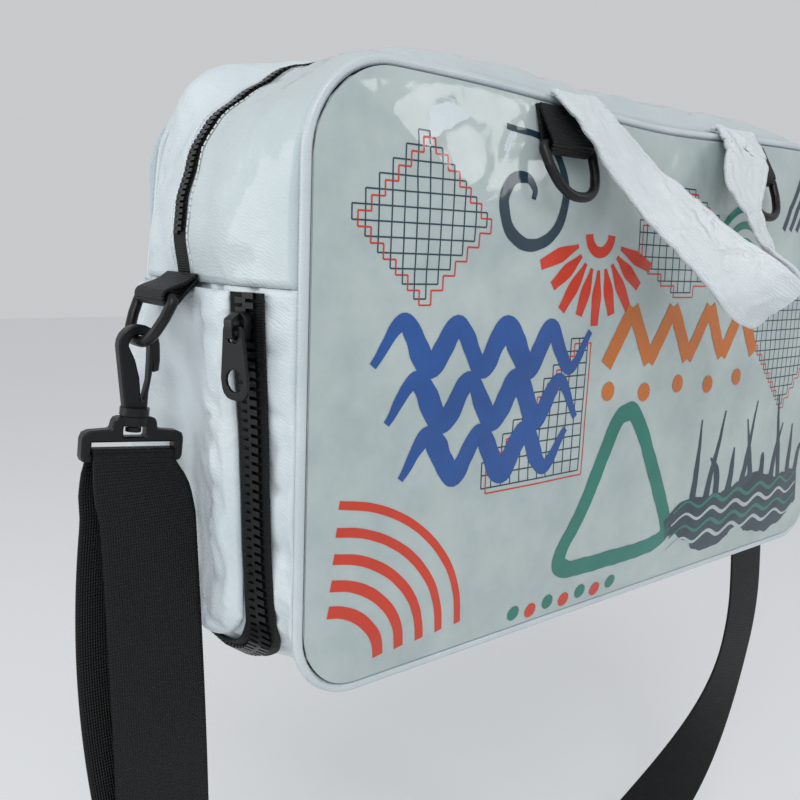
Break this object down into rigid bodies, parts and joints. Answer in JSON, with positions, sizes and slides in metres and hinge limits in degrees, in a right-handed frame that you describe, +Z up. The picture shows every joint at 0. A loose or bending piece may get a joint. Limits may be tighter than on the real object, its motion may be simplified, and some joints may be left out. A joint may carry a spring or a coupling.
{
  "type": "zipped shoulder bag",
  "caption": "Boxy zipped bag with piped film-covered panels, an end pocket, hanging rings, band handles and a wide hooked-on shoulder strap.",
  "frame": {"origin": "middle of the flat underside of the bag", "axes": "+X along the bag to its right end, -Y out of the film-covered front, +Z up"},
  "size_m": [0.6503, 0.3868, 0.6753],
  "materials": {
    "black_moulded_plastic": "satin moulded plastic",
    "black_webbing": "woven webbing",
    "black_zip": "moulded teeth on woven tape",
    "clear_film": "clear glossy film",
    "coated_white_cloth": "coated paper-like cloth, satin",
    "printed_panel_cloth": "printed cloth"
  },
  "bodies": {
    "bag": {"back_handle": "coated_white_cloth", "back_panel": "coated_white_cloth", "back_piping": "coated_white_cloth", "front_film": "clear_film", "front_handle": "coated_white_cloth", "front_panel": "printed_panel_cloth", "front_piping": "coated_white_cloth", "front_tab_left": "black_webbing", "front_tab_right": "black_webbing", "left_hook": "black_moulded_plastic", "left_hook_base": "black_moulded_plastic", "left_ring": "black_moulded_plastic", "left_tab": "black_webbing", "lower_band": "coated_white_cloth", "main_zip": "black_zip", "main_zip_slider": "black_moulded_plastic", "pocket_panel": "coated_white_cloth", "pocket_slider": "black_moulded_plastic", "pocket_zip": "black_zip", "right_hook": "black_moulded_plastic", "right_hook_base": "black_moulded_plastic", "right_ring": "black_moulded_plastic", "right_tab": "black_webbing", "shoulder_strap": "black_webbing", "strap_keeper": "black_moulded_plastic", "top_band_back": "coated_white_cloth", "top_band_front": "coated_white_cloth"},
    "pocket_puller": {"pocket_puller": "black_moulded_plastic"},
    "front_ring_left": {"front_ring_left": "black_moulded_plastic"},
    "front_ring_right": {"front_ring_right": "black_moulded_plastic"}
  },
  "joints": [
    {"name": "pocket_puller_swing", "type": "hinge", "parent": "bag", "child": "pocket_puller", "pos_m": [-0.2714, -0.06455, 0.1849], "axis": [-0.2806, 0.9598, 0], "range_deg": [0, 170]},
    {"name": "front_ring_left_swing", "type": "hinge", "parent": "bag", "child": "front_ring_left", "pos_m": [-0.096, -0.10318, 0.2805], "axis": [1, 0, 0], "range_deg": [-12, 22]},
    {"name": "front_ring_right_swing", "type": "hinge", "parent": "bag", "child": "front_ring_right", "pos_m": [0.096, -0.10318, 0.2805], "axis": [1, 0, 0], "range_deg": [-12, 22]}
  ]
}
